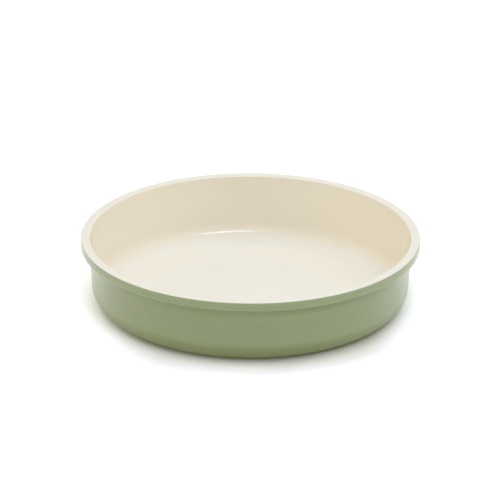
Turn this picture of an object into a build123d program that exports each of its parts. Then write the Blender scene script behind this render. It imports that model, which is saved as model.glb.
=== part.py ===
"""A shallow round cake tin: one pressed sheet of steel between a cream lining and a green coat.

The sheet is one unbroken piece. It runs from the flat floor up a nearly upright wall, out over a
flat rim, down a narrow collar and back in under the rim as a hem. Each coat is a skin of even
thickness that meets the steel face to face, and the two coats meet part way round the rim's edge.

Millimetres, with +Z up. The origin is the middle of the base, on the surface the tin stands on.
"""

import os
from math import hypot

from build123d import *

os.makedirs("parts", exist_ok=True)

# Sizes of the finished tin, taken over its coats
inside_diameter = 233.0  # across the cavity at the lip
overall_height = 50.8  # from the base to the top of the rim
wall_taper = 2.2  # how far the wall comes in between the rim and the floor
rim_width = 6.7  # from the cavity's wall out to the face of the collar
collar_height = 6.5  # the turned-down edge of the rim
hem_width = 4.0  # from the face of the collar in to the sheared edge of the steel

# The sheet and its coats
steel_thickness = 0.4
coating_thickness = 0.1
sheared_edge_radius = 0.1

# Bends, each measured on its inner side, over the coat there
floor_bend_radius = 15.5
lip_bend_radius = 0.2
rim_bend_radius = 0.2
hem_bend_radius = 0.2

# How far down the rim's outer bend the lining reaches, in degrees
colour_break_angle = 35.0

# Places worked out from the sizes above
lip_radius = inside_diameter / 2
rim_radius = lip_radius + rim_width
sheared_edge_place = rim_radius - hem_width
collar_foot = overall_height - collar_height
sheet_thickness = steel_thickness + 2 * coating_thickness
wall_height = overall_height - sheet_thickness
wall_slope = wall_taper / wall_height
wall_stretch = hypot(wall_taper, wall_height) / wall_height

# The steel's two faces, as depths under the face of the lining. Its front faces the cavity, the
# top of the rim and the outside of the collar.
front_depth = coating_thickness
back_depth = coating_thickness + steel_thickness


def wall_radius(height, depth):
    """Radius of the wall at a height, on the layer this deep under the face of the lining."""
    return lip_radius - wall_slope * (overall_height - height) + wall_stretch * depth


def sheet_corners(depth, hem_end):
    """Corners of the sheet, from the middle of the floor to the end of the hem, on one layer."""
    floor = sheet_thickness - depth
    rim_top = overall_height - depth
    collar_face = rim_radius - depth
    hem_face = collar_foot + depth
    return [
        (0, floor),
        (wall_radius(floor, depth), floor),
        (wall_radius(rim_top, depth), rim_top),
        (collar_face, rim_top),
        (collar_face, hem_face),
        (hem_end, hem_face),
    ]


def sheet_bends(depth):
    """Radii of the four bends between those corners: floor, lip, rim and hem."""
    behind = sheet_thickness - depth
    return [
        floor_bend_radius + depth,
        lip_bend_radius + behind,
        rim_bend_radius + behind,
        hem_bend_radius + behind,
    ]


def lining_surface(standoff):
    """One surface of the lining, this far off the steel. Gives its two end points."""
    depth = front_depth - standoff
    middle, floor_corner, lip_corner, rim_corner = sheet_corners(depth, sheared_edge_place)[:4]
    floor_bend, lip_bend, rim_bend = sheet_bends(depth)[:3]
    rim_bend_start = (rim_corner[0] - rim_bend, rim_corner[1])
    run = FilletPolyline(
        middle, floor_corner, lip_corner, rim_bend_start, radius=[floor_bend, lip_bend]
    )
    break_arc = JernArc(run @ 1, run % 1, rim_bend, -colour_break_angle)
    return run @ 0, break_arc @ 1


def green_surface(standoff):
    """One surface of the green coat, this far off the steel. Gives its two end points.

    It runs behind the sheet to the hem, round the sheared edge and back up the collar's face.
    """
    hem_end = sheared_edge_place - standoff
    behind = sheet_corners(back_depth + standoff, hem_end)
    ahead = sheet_corners(front_depth - standoff, hem_end)
    rim_bend, hem_bend = sheet_bends(front_depth - standoff)[2:]
    edge_bend = sheared_edge_radius + standoff
    collar_face, rim_top = ahead[3]
    rim_bend_end = (collar_face, rim_top - rim_bend)
    run = FilletPolyline(
        *behind,
        *reversed(ahead[4:]),
        rim_bend_end,
        radius=sheet_bends(back_depth + standoff) + [edge_bend, edge_bend, hem_bend],
    )
    break_arc = JernArc(run @ 1, run % 1, rim_bend, 90 - colour_break_angle)
    return run @ 0, break_arc @ 1


# The pressing: floor, wall, rim, collar and hem in one sheet
with BuildPart() as steel_pan:
    with BuildSketch(Plane.XZ):
        with BuildLine():
            outline = FilletPolyline(
                *sheet_corners(front_depth, sheared_edge_place),
                *reversed(sheet_corners(back_depth, sheared_edge_place)),
                radius=sheet_bends(front_depth)
                + [sheared_edge_radius, sheared_edge_radius]
                + sheet_bends(back_depth)[::-1],
            )
            Line(outline @ 1, outline @ 0)
        make_face()
    revolve(axis=Axis.Z)
steel_pan.part.label = "steel_pan"
export_step(steel_pan.part, "parts/steel_pan.step")


# The cream lining: floor, wall, lip and the top of the rim, as far as the colour break
with BuildPart() as interior_coating:
    with BuildSketch(Plane.XZ):
        with BuildLine():
            steel_side = lining_surface(0)
            finished_side = lining_surface(coating_thickness)
            Line(steel_side[0], finished_side[0])
            Line(steel_side[1], finished_side[1])
        make_face()
    revolve(axis=Axis.Z)
interior_coating.part.label = "interior_coating"
export_step(interior_coating.part, "parts/interior_coating.step")


# The green coat: base, outer wall, inside the rim, round the hem's edge and up the collar
with BuildPart() as exterior_coating:
    with BuildSketch(Plane.XZ):
        with BuildLine():
            steel_side = green_surface(0)
            finished_side = green_surface(coating_thickness)
            Line(steel_side[0], finished_side[0])
            Line(steel_side[1], finished_side[1])
        make_face()
    revolve(axis=Axis.Z)
exterior_coating.part.label = "exterior_coating"
export_step(exterior_coating.part, "parts/exterior_coating.step")
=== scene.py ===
"""The looks of a shallow round cake tin: a cream lining and a sprayed green coat over pressed steel.

Metres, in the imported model's own frame: +Z up, the origin in the middle of the base. The two coats
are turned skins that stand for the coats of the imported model; the steel between them is its own.
"""

import math

import bmesh
import bpy
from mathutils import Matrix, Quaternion, Vector


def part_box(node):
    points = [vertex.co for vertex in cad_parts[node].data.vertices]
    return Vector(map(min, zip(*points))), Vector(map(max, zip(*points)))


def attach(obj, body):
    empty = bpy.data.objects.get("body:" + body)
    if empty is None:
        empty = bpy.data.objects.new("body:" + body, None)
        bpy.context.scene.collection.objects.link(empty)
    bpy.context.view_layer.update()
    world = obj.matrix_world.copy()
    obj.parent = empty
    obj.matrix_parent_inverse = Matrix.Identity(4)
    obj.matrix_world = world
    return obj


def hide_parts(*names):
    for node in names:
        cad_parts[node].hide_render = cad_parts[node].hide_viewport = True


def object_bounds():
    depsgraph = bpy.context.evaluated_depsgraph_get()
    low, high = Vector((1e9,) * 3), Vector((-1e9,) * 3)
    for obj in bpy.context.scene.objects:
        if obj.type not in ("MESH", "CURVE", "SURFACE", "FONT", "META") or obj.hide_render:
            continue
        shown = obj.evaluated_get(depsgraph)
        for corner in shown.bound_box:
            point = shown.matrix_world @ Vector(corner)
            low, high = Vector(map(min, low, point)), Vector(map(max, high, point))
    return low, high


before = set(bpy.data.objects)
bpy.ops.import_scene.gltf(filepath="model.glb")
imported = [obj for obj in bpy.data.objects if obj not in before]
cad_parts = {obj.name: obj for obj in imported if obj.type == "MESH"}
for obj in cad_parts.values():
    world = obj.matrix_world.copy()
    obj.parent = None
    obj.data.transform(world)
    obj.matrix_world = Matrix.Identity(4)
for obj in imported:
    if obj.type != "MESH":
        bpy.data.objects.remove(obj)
cad_low, cad_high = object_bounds()

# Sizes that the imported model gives
rim_radius = cad_high.x
rim_height = cad_high.z
coat_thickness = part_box("steel_pan")[0].z
steel_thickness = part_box("interior_coating")[0].z - coat_thickness
sheet_thickness = steel_thickness + 2 * coat_thickness

# Sizes of the pressing that the boxes don't give
inside_radius = 0.1165
wall_taper = 0.0022
collar_height = 0.0065
hem_width = 0.004
sheared_edge_radius = 0.0001
floor_bend_radius = 0.0155
lip_bend_radius = 0.0002
rim_bend_radius = 0.0002
hem_bend_radius = 0.0002
colour_break_angle = math.radians(35)

# How finely the skins are turned
turn_steps = 384
floor_bend_steps = 24
small_bend_steps = 8
edge_bend_steps = 4
break_arc_steps = 4
flat_rings = 7
flat_ring_share = 0.86
round_bend_share = 0.5
match_distance = 0.00001
smooth_angle = math.radians(35)


def wall_radius(height, depth):
    """Radius of the wall at a height, on the layer this deep under the face of the lining."""
    wall_height = rim_height - sheet_thickness
    slope = wall_taper / wall_height
    stretch = math.hypot(wall_taper, wall_height) / wall_height
    return inside_radius - slope * (rim_height - height) + stretch * depth


def is_at(vertex, corner):
    """Whether a vertex lies at a corner, given as (radius, height)."""
    radius = math.hypot(vertex.co.x, vertex.co.y)
    height = vertex.co.z
    return abs(radius - corner[0]) < match_distance and abs(height - corner[1]) < match_distance


def select_ring(piece, corner):
    """In edit mode, select the ring of edges that goes round the tin at one corner."""
    bpy.ops.mesh.select_all(action="DESELECT")
    mesh = bmesh.from_edit_mesh(piece.data)
    for edge in mesh.edges:
        edge.select = all(is_at(vertex, corner) for vertex in edge.verts)
    bmesh.update_edit_mesh(piece.data)


def pull_ring(from_corner, to_corner):
    """Extrude the selected ring, then widen and raise it to the next corner."""
    rise = to_corner[1] - from_corner[1]
    widening = to_corner[0] / from_corner[0]
    bpy.ops.mesh.extrude_edges_move(TRANSFORM_OT_translate={"value": (0, 0, rise)})
    bpy.ops.transform.resize(value=(widening, widening, 1), center_override=(0, 0, 0))


def round_corner(piece, corners, corner, radius, steps):
    """In edit mode, bevel one corner of the outline to a bend of this radius."""
    index = corners.index(corner)
    before = Vector(corner) - Vector(corners[index - 1] if index else (0, corner[1]))
    after = Vector(corners[index + 1]) - Vector(corner)
    select_ring(piece, corner)
    bpy.ops.mesh.bevel(
        offset_type="OFFSET",
        offset=radius * math.tan(before.angle(after) / 2),
        segments=steps,
        profile=round_bend_share,
        affect="EDGES",
    )


def find_disc(mesh):
    """The flat face in the middle of a skin, which has more corners than any other."""
    return max(mesh.faces, key=lambda face: len(face.verts))


def ring_disc(piece):
    """In edit mode, cut rings into the flat face in the middle, each a share of the last."""
    bpy.ops.mesh.select_mode(type="FACE")
    bpy.ops.mesh.select_all(action="DESELECT")
    mesh = bmesh.from_edit_mesh(piece.data)
    disc = find_disc(mesh)
    disc.select = True
    bmesh.update_edit_mesh(piece.data)
    disc_radius = math.hypot(*disc.verts[0].co.xy)
    for step in range(flat_rings):
        ring_width = disc_radius * flat_ring_share**step * (1 - flat_ring_share)
        bpy.ops.mesh.inset(thickness=ring_width)


def turned_skin(name, corners, bends, faces_up):
    """A closed skin one coat thick, turned from a disc that is pulled out ring by ring.

    corners are (radius, height) from the disc's edge on; bends are (corner, radius, steps).
    """
    bpy.ops.object.select_all(action="DESELECT")
    bpy.ops.mesh.primitive_circle_add(
        vertices=turn_steps,
        radius=corners[0][0],
        fill_type="NGON",
        location=(0, 0, corners[0][1]),
    )
    piece = bpy.context.object
    piece.name = name
    piece.data.name = name
    bpy.ops.object.transform_apply(location=True, rotation=True, scale=True)
    bpy.ops.object.mode_set(mode="EDIT")
    bpy.ops.mesh.select_mode(type="EDGE")
    for from_corner, to_corner in zip(corners, corners[1:]):
        select_ring(piece, from_corner)
        pull_ring(from_corner, to_corner)
    for corner, radius, steps in bends:
        round_corner(piece, corners, corner, radius, steps)
    ring_disc(piece)
    bpy.ops.mesh.select_all(action="SELECT")
    bpy.ops.mesh.remove_doubles(threshold=match_distance / 2)
    bpy.ops.mesh.normals_make_consistent(inside=False)
    mesh = bmesh.from_edit_mesh(piece.data)
    if (find_disc(mesh).normal.z > 0) != faces_up:
        bpy.ops.mesh.flip_normals()
    bpy.ops.object.mode_set(mode="OBJECT")
    wall = piece.modifiers.new("coat thickness", "SOLIDIFY")
    wall.thickness = coat_thickness
    wall.offset = -1
    wall.use_even_offset = True
    bpy.ops.object.modifier_apply(modifier=wall.name)
    bpy.ops.object.shade_smooth_by_angle(angle=smooth_angle)
    return piece


def break_arc(from_angle, to_angle):
    """Points on the rim's outer bend, by angles down from its top."""
    bend = rim_bend_radius + sheet_thickness
    points = []
    for step in range(break_arc_steps + 1):
        angle = from_angle + (to_angle - from_angle) * step / break_arc_steps
        radius = rim_radius - bend + bend * math.sin(angle)
        height = rim_height - bend + bend * math.cos(angle)
        points.append((radius, height))
    return points


def make_lining():
    """The cream lining: floor, wall, lip and the top of the rim."""
    floor_corner = (wall_radius(sheet_thickness, 0), sheet_thickness)
    lip_corner = (inside_radius, rim_height)
    return turned_skin(
        "cream_lining",
        [floor_corner, lip_corner] + break_arc(0, colour_break_angle),
        [
            (floor_corner, floor_bend_radius, floor_bend_steps),
            (lip_corner, lip_bend_radius + sheet_thickness, small_bend_steps),
        ],
        faces_up=True,
    )


def make_green_coat():
    """The green coat: base, outer wall, under the rim, round the hem and up the collar."""
    under_rim = rim_height - sheet_thickness
    foot = rim_height - collar_height
    hem_end = rim_radius - hem_width - coat_thickness
    base_corner = (wall_radius(0, sheet_thickness), 0)
    lip_corner = (wall_radius(under_rim, sheet_thickness), under_rim)
    rim_corner = (rim_radius - sheet_thickness, under_rim)
    hem_corner = (rim_radius - sheet_thickness, foot + sheet_thickness)
    edge_top = (hem_end, foot + sheet_thickness)
    edge_foot = (hem_end, foot)
    collar_corner = (rim_radius, foot)
    edge_bend = sheared_edge_radius + coat_thickness
    return turned_skin(
        "green_coat",
        [base_corner, lip_corner, rim_corner, hem_corner, edge_top, edge_foot, collar_corner]
        + break_arc(math.pi / 2, colour_break_angle),
        [
            (base_corner, floor_bend_radius + sheet_thickness, floor_bend_steps),
            (lip_corner, lip_bend_radius, small_bend_steps),
            (rim_corner, rim_bend_radius, edge_bend_steps),
            (hem_corner, hem_bend_radius, edge_bend_steps),
            (edge_top, edge_bend, edge_bend_steps),
            (edge_foot, edge_bend, edge_bend_steps),
            (collar_corner, hem_bend_radius + sheet_thickness, small_bend_steps),
        ],
        faces_up=False,
    )


class Value:
    """A number socket of a finish, so that shader maths reads as Python expressions."""

    def __init__(self, finish, socket):
        self.finish = finish
        self.socket = socket

    def _maths(self, operation, *numbers):
        node = self.finish.node("ShaderNodeMath", {"operation": operation}, dict(enumerate(numbers)))
        return Value(self.finish, node.outputs[0])

    def __add__(self, other):
        return self._maths("ADD", self, other)

    def __radd__(self, other):
        return self._maths("ADD", other, self)

    def __sub__(self, other):
        return self._maths("SUBTRACT", self, other)

    def __rsub__(self, other):
        return self._maths("SUBTRACT", other, self)

    def __mul__(self, other):
        return self._maths("MULTIPLY", self, other)

    def __rmul__(self, other):
        return self._maths("MULTIPLY", other, self)

    def __abs__(self):
        return self._maths("ABSOLUTE", self)


class Finish:
    """The nodes of a material or of the surround, and the few ways they are put together."""

    def __init__(self, owner):
        self.owner = owner
        owner.use_nodes = True
        self.tree = owner.node_tree
        self.tree.nodes.clear()

    def node(self, kind, settings, sockets):
        """Add a node: its settings first, then the values or links of its sockets."""
        node = self.tree.nodes.new(kind)
        for name, value in settings.items():
            setattr(node, name, value)
        for key, value in sockets.items():
            if isinstance(value, Value):
                value = value.socket
            if isinstance(value, bpy.types.NodeSocket):
                self.tree.links.new(value, node.inputs[key])
            else:
                node.inputs[key].default_value = value
        return node

    def place(self):
        """The point on the piece, in metres."""
        return self.node("ShaderNodeTexCoord", {}, {}).outputs["Object"]

    def along(self, axis):
        """How far along X, Y or Z the point is, in metres."""
        node = self.node("ShaderNodeSeparateXYZ", {}, {"Vector": self.place()})
        return Value(self, node.outputs[axis])

    def from_axis(self):
        """How far the point is from the tin's axis, in metres."""
        flat = self.node(
            "ShaderNodeVectorMath", {"operation": "MULTIPLY"}, {0: self.place(), 1: (1, 1, 0)}
        )
        node = self.node("ShaderNodeVectorMath", {"operation": "LENGTH"}, {0: flat.outputs[0]})
        return Value(self, node.outputs["Value"])

    def rays(self, *kinds):
        """For each kind of ray, 1 when the point is reached by a ray of that kind and 0 if not."""
        node = self.node("ShaderNodeLightPath", {}, {})
        return [Value(self, node.outputs[f"Is {kind} Ray"]) for kind in kinds]

    def noise(self, size, detail, stretch=(1, 1, 1)):
        """Noise from 0 to 1 whose lumps are about this many metres across, before a stretch."""
        shares = [1 / length for length in stretch]
        place = self.node("ShaderNodeMapping", {}, {"Vector": self.place(), "Scale": shares})
        node = self.node(
            "ShaderNodeTexNoise",
            {},
            {"Vector": place.outputs[0], "Scale": 1 / size, "Detail": detail},
        )
        return Value(self, node.outputs["Fac"])

    def ramp(self, value, low, high):
        """0 below low, 1 above high and smooth in between."""
        node = self.node(
            "ShaderNodeMapRange",
            {"interpolation_type": "SMOOTHSTEP"},
            {"Value": value, "From Min": low, "From Max": high},
        )
        return Value(self, node.outputs["Result"])

    def specks(self, spacing, radius, cell_share):
        """1 on tiny dots, which sit in this share of the cells of a pattern, and 0 elsewhere."""
        cells = self.node(
            "ShaderNodeTexVoronoi",
            {"feature": "F1"},
            {"Vector": self.place(), "Scale": 1 / spacing},
        )
        dice = self.node("ShaderNodeSeparateColor", {}, {"Color": cells.outputs["Color"]})
        reach = radius / spacing
        far = self.ramp(Value(self, cells.outputs["Distance"]), reach / 2, reach)
        chosen = self.ramp(Value(self, dice.outputs["Red"]), 1 - cell_share, 1 - cell_share / 2)
        return (1 - far) * chosen

    def blend(self, amount, first, second):
        """Two colours mixed by an amount."""
        node = self.node(
            "ShaderNodeMix",
            {"data_type": "RGBA"},
            {"Factor": amount, 6: first, 7: second},
        )
        return node.outputs[2]

    def bump(self, height, depth):
        """The surface normal over a height from 0 to 1 that stands for this many metres."""
        node = self.node("ShaderNodeBump", {}, {"Height": height, "Distance": depth})
        return node.outputs["Normal"]

    def surface(self, sockets):
        """Finish with one Principled shader and give the material."""
        shader = self.node("ShaderNodeBsdfPrincipled", {}, sockets)
        self.node("ShaderNodeOutputMaterial", {}, {"Surface": shader.outputs[0]})
        return self.owner


# What the finishes share
coat_refraction = 1.6
fine_detail = 2
cloud_low = 0.3
cloud_high = 0.7

# The lining. Each tone share says how much of its tone is mixed in.
# Painted light: the floor tone is paler and cooler for the light and pale surround mirrored there,
# and the wall tone is yellower for warm light bounced between the walls.
cream_floor_painted_light_tone = (0.797, 0.791, 0.692, 1)
cream_wall_painted_bounce_tone = (0.848, 0.766, 0.605, 1)
cream_rim_tone = (0.767, 0.744, 0.622, 1)
cream_mottle_tone = (0.6, 0.5, 0.35, 1)
cream_mottle_tone_share = 0.02
cream_mottle_size = 0.02
cream_wall_start_share = 0.6  # of the floor bend's radius, up from the base
pinhole_tone = (0.35, 0.28, 0.18, 1)
pinhole_tone_share = 0.35
pinhole_cell_share = 0.5
pinhole_spacing = 0.008
pinhole_radius = 0.0003
cream_ripple_size = 0.004
cream_ripple_depth = 0.000004
cream_roughness = 0.13
cream_roughness_rise = 0.04


def cream_enamel():
    """Glossy cream lining with painted light by height: paler and cooler on the floor, yellower up
    the wall.
    """
    finish = Finish(bpy.data.materials.new("cream_non_stick"))
    height = finish.along("Z")
    wall_start = cream_wall_start_share * floor_bend_radius
    up_the_wall = finish.ramp(height, sheet_thickness, wall_start)
    on_the_rim = finish.ramp(height, rim_height - sheet_thickness, rim_height)
    mottle = finish.noise(cream_mottle_size, fine_detail)
    mottled = finish.ramp(mottle, cloud_low, cloud_high) * cream_mottle_tone_share
    pinholes = finish.specks(pinhole_spacing, pinhole_radius, pinhole_cell_share)
    # Painted light by height: the floor tone stands in for light and reflection, the wall tone for
    # warm bounce.
    colour = finish.blend(up_the_wall, cream_floor_painted_light_tone, cream_wall_painted_bounce_tone)
    colour = finish.blend(on_the_rim, colour, cream_rim_tone)
    colour = finish.blend(mottled, colour, cream_mottle_tone)
    colour = finish.blend(pinholes * pinhole_tone_share, colour, pinhole_tone)
    ripple = finish.noise(cream_ripple_size, fine_detail)
    return finish.surface(
        {
            "Base Color": colour,
            "Roughness": cream_roughness + cream_roughness_rise * mottle,
            "IOR": coat_refraction,
            "Normal": finish.bump(ripple, cream_ripple_depth),
        }
    )


# The green coat. Starts and ends are heights over the base, and drops are heights under the rim.
green_light_grain_tone = (0.355, 0.417, 0.188, 1)
green_dark_grain_tone = (0.323, 0.384, 0.17, 1)
green_grain_size = 0.0016
green_grain_low = 0.35
green_grain_high = 0.65
green_grain_depth = 0.000006
green_cloud_tone = (0.3, 0.34, 0.2, 1)
green_cloud_tone_share = 0.04
green_cloud_size = 0.02
# Painted shade: yellower and darker towards the base, where the bend faces the shadowed floor.
green_base_painted_shade_tone = (0.339, 0.405, 0.141, 1)
green_base_start = 0.004
green_base_end = 0.018
# Painted light: paler high on the wall, against the shade under the collar.
green_under_rim_painted_light_tone = (0.402, 0.482, 0.203, 1)
green_under_rim_start = 0.028
green_under_rim_end = 0.045
green_under_rim_fade = 0.0004
# Painted highlight: a pale line along the foot of the collar, where the bend catches the light.
green_collar_edge_painted_highlight_tone = (0.48, 0.56, 0.3, 1)
green_collar_edge_painted_highlight_share = 0.5
green_collar_edge_rise = 0.0006
green_collar_edge_near = 0.0003
green_collar_edge_far = 0.0009
speck_tone = (0.12, 0.14, 0.07, 1)
speck_tone_share = 0.5
speck_cell_share = 0.6
speck_spacing = 0.006
speck_radius = 0.00035
# Painted sheen: a greyer, paler band on the green just under the colour break, where the rounded
# edge catches the light.
colour_break_painted_sheen_tone = (0.55, 0.52, 0.45, 1)
colour_break_painted_sheen_share = 0.5
colour_break_sheen_low_drop = 0.0007
colour_break_sheen_high_drop = 0.0001
green_roughness = 0.285
green_roughness_rise = 0.05


def green_spray():
    """Satin green coat with spray grain and the odd dark speck, and a painted grey sheen at the
    colour break.

    It has painted shade at the base, which is yellower and darker there, and painted light that
    makes it paler under the rim, with a painted highlight along the foot of the collar.
    """
    finish = Finish(bpy.data.materials.new("green_spray_coat"))
    height = finish.along("Z")
    collar_foot = rim_height - collar_height
    grain = finish.noise(green_grain_size, fine_detail)
    cloud = finish.noise(green_cloud_size, fine_detail)
    speckle = finish.ramp(grain, green_grain_low, green_grain_high)
    clouded = finish.ramp(cloud, cloud_low, cloud_high) * green_cloud_tone_share
    up_from_base = finish.ramp(height, green_base_start, green_base_end)
    over_collar_foot = finish.ramp(height, collar_foot, collar_foot + green_under_rim_fade)
    high_on_the_wall = finish.ramp(height, green_under_rim_start, green_under_rim_end)
    from_collar_edge = abs(height - (collar_foot + green_collar_edge_rise))
    near_the_collar_highlight = 1 - finish.ramp(
        from_collar_edge, green_collar_edge_near, green_collar_edge_far
    )
    specks = finish.specks(speck_spacing, speck_radius, speck_cell_share)
    colour_break_sheen = finish.ramp(
        height, rim_height - colour_break_sheen_low_drop, rim_height - colour_break_sheen_high_drop
    )
    colour = finish.blend(speckle, green_light_grain_tone, green_dark_grain_tone)
    colour = finish.blend(clouded, colour, green_cloud_tone)
    # Painted shade towards the base.
    colour = finish.blend(up_from_base, green_base_painted_shade_tone, colour)
    # Painted light high on the wall, under the collar.
    colour = finish.blend(
        high_on_the_wall * (1 - over_collar_foot), colour, green_under_rim_painted_light_tone
    )
    # Painted highlight along the collar's foot.
    colour = finish.blend(
        near_the_collar_highlight * green_collar_edge_painted_highlight_share, colour, green_collar_edge_painted_highlight_tone
    )
    colour = finish.blend(specks * speck_tone_share, colour, speck_tone)
    # Painted sheen at the colour break.
    colour = finish.blend(colour_break_sheen * colour_break_painted_sheen_share, colour, colour_break_painted_sheen_tone)
    return finish.surface(
        {
            "Base Color": colour,
            "Roughness": green_roughness + green_roughness_rise * cloud,
            "IOR": coat_refraction,
            "Normal": finish.bump(grain, green_grain_depth),
        }
    )


# The steel
steel_light_tone = (0.54, 0.54, 0.53, 1)
steel_dark_tone = (0.44, 0.44, 0.43, 1)
steel_line_width = 0.0004
steel_line_stretch = 50
steel_line_depth = 0.000004
steel_cloud_tone = (0.36, 0.35, 0.33, 1)
steel_cloud_tone_share = 0.2
steel_cloud_size = 0.015
steel_cloud_detail = 3
steel_roughness = 0.32
steel_roughness_rise = 0.15


def bare_steel():
    """Dull rolled steel between the coats, with the fine lines that the rolls leave along Y."""
    finish = Finish(bpy.data.materials.new("rolled_steel"))
    cloud = finish.noise(steel_cloud_size, steel_cloud_detail)
    streak = finish.noise(steel_line_width, fine_detail, (1, steel_line_stretch, 1))
    colour = finish.blend(streak, steel_light_tone, steel_dark_tone)
    colour = finish.blend(cloud * steel_cloud_tone_share, colour, steel_cloud_tone)
    return finish.surface(
        {
            "Base Color": colour,
            "Metallic": 1,
            "Roughness": steel_roughness + steel_roughness_rise * streak,
            "Normal": finish.bump(streak, steel_line_depth),
        }
    )


lining = make_lining()
green_coat = make_green_coat()
lining.data.materials.append(cream_enamel())
green_coat.data.materials.append(green_spray())
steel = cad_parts["steel_pan"]
steel.data.materials.clear()
steel.data.materials.append(bare_steel())
for piece, node, slot in (
    (lining, "interior_coating", "cream_lining"),
    (green_coat, "exterior_coating", "green_coat"),
):
    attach(piece, "root")
    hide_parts(node)


# The camera. Distances are in metres, and places in the picture are in pixels.
camera_distance_in_rims = 24
camera_distance = camera_distance_in_rims * rim_radius
camera_elevation = math.radians(22.62)
camera_roll = 0.00525
camera_focal_pixels = 4070
camera_near = 0.01
camera_far = 100
picture_pixels = 500
rim_middle_column = 250.41
rim_middle_row = 235.55
sensor_width = 36


def add_camera():
    """A camera at the photograph's viewing angle, aimed a little under the middle of the rim."""
    data = bpy.data.cameras.new("camera")
    camera = bpy.data.objects.new("camera", data)
    bpy.context.scene.collection.objects.link(camera)
    data.sensor_width = sensor_width
    data.lens = camera_focal_pixels / picture_pixels * sensor_width
    away = Vector((0, -math.cos(camera_elevation), math.sin(camera_elevation)))
    camera.location = Vector((0, 0, rim_height)) + away * camera_distance
    metres_per_pixel = camera_distance / camera_focal_pixels
    drop = (picture_pixels / 2 - rim_middle_row) * metres_per_pixel
    shift = (picture_pixels / 2 - rim_middle_column) * metres_per_pixel
    aim = Vector((shift, 0, rim_height - drop / math.cos(camera_elevation)))
    camera.rotation_mode = "QUATERNION"
    look = (aim - camera.location).to_track_quat("-Z", "Y")
    camera.rotation_quaternion = look @ Quaternion((0, 0, 1), camera_roll)
    data.clip_start = camera_near
    data.clip_end = camera_far
    bpy.context.scene.camera = camera


# The lamps' colours, and their sizes in metres
pinkish_white = (1.01, 0.95, 1.04)
daylight = (0.96, 0.97, 1.08)
warm_white = (1.05, 1.01, 0.94)
cool_white = (0.78, 0.97, 1.25)
lamp_distance = 1.8
overhead_width = 1.8
overhead_length = 1.8
softbox_width = 1.0
softbox_height = 0.8
back_softbox_width = 1.2
back_softbox_height = 0.9
low_softbox_height = 0.4
strip_width = 0.55
strip_sides_width = 1.15
strip_ends_width = 2.2
strip_height = 0.17
strip_gap = 0.01

overhead = (overhead_width, overhead_length)
softbox = (softbox_width, softbox_height)
back_softbox = (back_softbox_width, back_softbox_height)
low_softbox = (softbox_width, low_softbox_height)
strip = (strip_width, strip_height)
strip_sides = (strip_sides_width, strip_height)
strip_ends = (strip_ends_width, strip_height)
strip_distance = lamp_distance - 2 * strip_gap
strip_sides_distance = lamp_distance - strip_gap

# Lamps, each aimed at the tin: (name, degrees round from the camera towards +X, degrees up, metres
# away, width and height, watts, colour, whether it is mirrored in the coats)
lamps = (
    ("overhead softbox", 0, 88, lamp_distance, overhead, 14.6, pinkish_white, False),
    ("left low softbox", -90, 22, lamp_distance, softbox, 4.9, warm_white, False),
    ("right low softbox", 90, 22, lamp_distance, softbox, 3.6, warm_white, False),
    ("left high softbox", -90, 50, lamp_distance, softbox, 2.1, warm_white, False),
    ("right high softbox", 90, 50, lamp_distance, softbox, 4.3, daylight, False),
    ("back left softbox", -135, 16, lamp_distance, back_softbox, 2.2, daylight, False),
    ("back right softbox", 135, 16, lamp_distance, back_softbox, 2.4, daylight, False),
    ("front left low softbox", -35, 9, lamp_distance, low_softbox, 0.9, warm_white, False),
    ("front softbox", 0, 40, lamp_distance, softbox, 2.2, warm_white, False),
    ("front strip", 19, 46.5, strip_distance, strip, 0.9, cool_white, True),
    ("front strip sides", 19, 46.5, strip_sides_distance, strip_sides, 2.3, cool_white, True),
    ("front strip ends", 15, 46.5, lamp_distance, strip_ends, 2.3, cool_white, True),
)


def add_lamp(name, round_from_camera, up, distance, size, watts, colour, mirrored):
    """A rectangular lamp aimed at the tin."""
    data = bpy.data.lights.new(name, "AREA")
    data.shape = "RECTANGLE"
    data.size, data.size_y = size
    data.energy = watts
    data.color = colour
    lamp = bpy.data.objects.new(name, data)
    bpy.context.scene.collection.objects.link(lamp)
    lamp.visible_glossy = mirrored
    azimuth = math.radians(round_from_camera)
    elevation = math.radians(up)
    lamp.location = distance * Vector(
        (
            math.sin(azimuth) * math.cos(elevation),
            -math.cos(azimuth) * math.cos(elevation),
            math.sin(elevation),
        )
    )
    lamp.rotation_euler = lamp.location.to_track_quat("Z", "Y").to_euler()


# The floor, in metres. Starts and ends are distances from the tin's axis, or along X for what goes
# by side. A gain of 1 is a white floor, and the open gains are over 1 to stay white in thin shadow.
# The lower gains round the tin are painted shadow on top of the rendered one, the side gains are
# painted light that narrows it at left and right, and the right shade is painted shade.
floor_size = 8
# Painted shadow round the tin's foot.
floor_shadow_gain = 0.58
floor_clearing_gain = 0.49
floor_clearing_start = 0.098
floor_clearing_end = 0.124
floor_open_gain = 1.15
floor_open_start = 0.124
floor_open_end = 0.163
floor_far_gain = 1.4
floor_far_start = 0.26
floor_far_end = 0.5
floor_left_gain = 0.4
floor_left_foot_gain = 0.14
floor_left_start = 0.06
floor_left_end = 0.12
floor_right_gain = 0.45
floor_right_start = 0.08
floor_right_end = 0.125
floor_right_shade_share = 0.09
floor_right_shade_start = -0.01
floor_right_shade_end = 0.03
floor_right_open_shift = 0.014
floor_right_open_start = 0.0
floor_right_open_end = 0.05
# Painted warm cast in the shadow close to the tin.
floor_tint_loss_shares = (0.0, 0.035, 0.08)
floor_right_tint_loss_shares = (0.0, 0.005, 0.05)
floor_tint_start = 0.11
floor_tint_end = 0.138
# Painted shade in the floor as the coats mirror it, darker near the tin.
floor_mirrored_near_gain = 0.9
floor_mirrored_far_gain = 1.6
floor_mirrored_start = 0.104
floor_mirrored_end = 0.135


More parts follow.
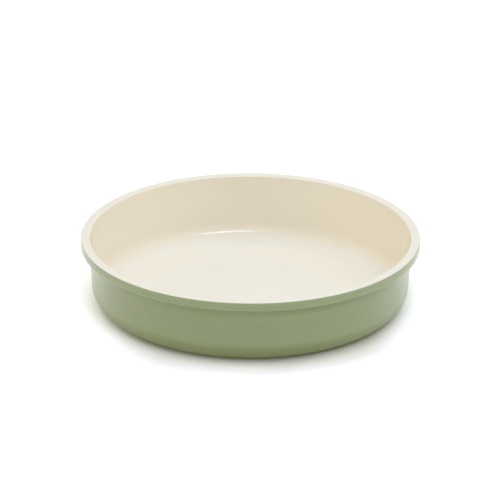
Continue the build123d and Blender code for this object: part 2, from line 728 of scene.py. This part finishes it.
def floor_seen(finish, out, across, left, right):
    """How pale the camera sees the floor: painted shadow, grey at the tin's foot, clearing to white
    in the open.
    """
    clearing = finish.ramp(out, floor_clearing_start, floor_clearing_end)
    shade = finish.ramp(across, floor_right_shade_start, floor_right_shade_end)
    sides = 1 + floor_left_gain * left + floor_right_gain * right - floor_right_shade_share * shade
    foot = floor_shadow_gain + floor_left_foot_gain * left
    near = (foot + (floor_shadow_gain + floor_clearing_gain - foot) * clearing) * sides
    sooner = floor_right_open_shift * finish.ramp(
        across, floor_right_open_start, floor_right_open_end
    )
    in_the_open = finish.ramp(out + sooner, floor_open_start, floor_open_end)
    far_off = finish.ramp(out, floor_far_start, floor_far_end)
    open_level = floor_open_gain + far_off * (floor_far_gain - floor_open_gain)
    return near + in_the_open * (open_level - near)


def floor_colour(finish, to_gloss):
    """The floor's colour: a painted warm cast in the shadow close to the tin, and levels of its own
    for gloss, darker near the tin as painted shade in what the coats mirror.
    """
    out = finish.from_axis()
    across = finish.along("X")
    left = finish.ramp(0 - across, floor_left_start, floor_left_end)
    right = finish.ramp(across, floor_right_start, floor_right_end)
    seen = floor_seen(finish, out, across, left, right)
    # Painted shade in the mirrored floor near the tin.
    away = finish.ramp(out, floor_mirrored_start, floor_mirrored_end)
    mirrored_rise = floor_mirrored_far_gain - floor_mirrored_near_gain
    mirrored = floor_mirrored_near_gain + away * mirrored_rise
    level = seen + to_gloss * (mirrored - seen)
    # Painted warm cast in the shadow near the tin.
    warm = finish.ramp(across, -floor_right_start, floor_right_start)
    tinted = (1 - finish.ramp(out, floor_tint_start, floor_tint_end)) * (1 - left - right)
    red, green, blue = [
        level * (1 - tinted * (loss + warm * more))
        for loss, more in zip(floor_tint_loss_shares, floor_right_tint_loss_shares)
    ]
    colour = finish.node("ShaderNodeCombineColor", {}, {"Red": red, "Green": green, "Blue": blue})
    return colour.outputs[0]


def add_floor():
    """A pale floor with the tin's shadow, partly rendered and partly painted into its tone, clear
    from below and to the soft light on the tin.
    """
    bpy.ops.object.select_all(action="DESELECT")
    bpy.ops.mesh.primitive_plane_add(size=floor_size, location=(0, 0, 0))
    floor = bpy.context.object
    floor.name = "floor"
    finish = Finish(bpy.data.materials.new("floor_paper"))
    to_camera, to_gloss, to_soft_light = finish.rays("Camera", "Glossy", "Diffuse")
    paper = finish.node("ShaderNodeBsdfDiffuse", {}, {"Color": floor_colour(finish, to_gloss)})
    clear = finish.node("ShaderNodeBsdfTransparent", {}, {})
    underside = finish.node("ShaderNodeNewGeometry", {}, {}).outputs["Backfacing"]
    unseen = Value(finish, underside) * to_camera + to_soft_light
    surface = finish.node(
        "ShaderNodeMixShader",
        {},
        {0: unseen, 1: paper.outputs[0], 2: clear.outputs[0]},
    )
    finish.node("ShaderNodeOutputMaterial", {}, {"Surface": surface.outputs[0]})
    floor.data.materials.append(finish.owner)


# The surround
surround_tone = (0.8, 0.8, 0.8, 1)
surround_seen_strength = 1
surround_fill_strength = 0.455


def add_surround():
    """A pale even surround for the camera and for gloss, and a softer one that lights the tin."""
    world = bpy.data.worlds.new("studio")
    bpy.context.scene.world = world
    finish = Finish(world)
    to_camera, to_gloss, through = finish.rays("Camera", "Glossy", "Transmission")
    strength = finish.node(
        "ShaderNodeMix",
        {},
        {
            0: to_camera + to_gloss + through,
            2: surround_fill_strength,
            3: surround_seen_strength,
        },
    )
    back = finish.node(
        "ShaderNodeBackground", {}, {"Color": surround_tone, "Strength": strength.outputs[0]}
    )
    finish.node("ShaderNodeOutputWorld", {}, {"Surface": back.outputs[0]})


add_camera()
add_floor()
add_surround()
for lamp in lamps:
    add_lamp(*lamp)
bpy.context.scene.view_settings.view_transform = "Standard"
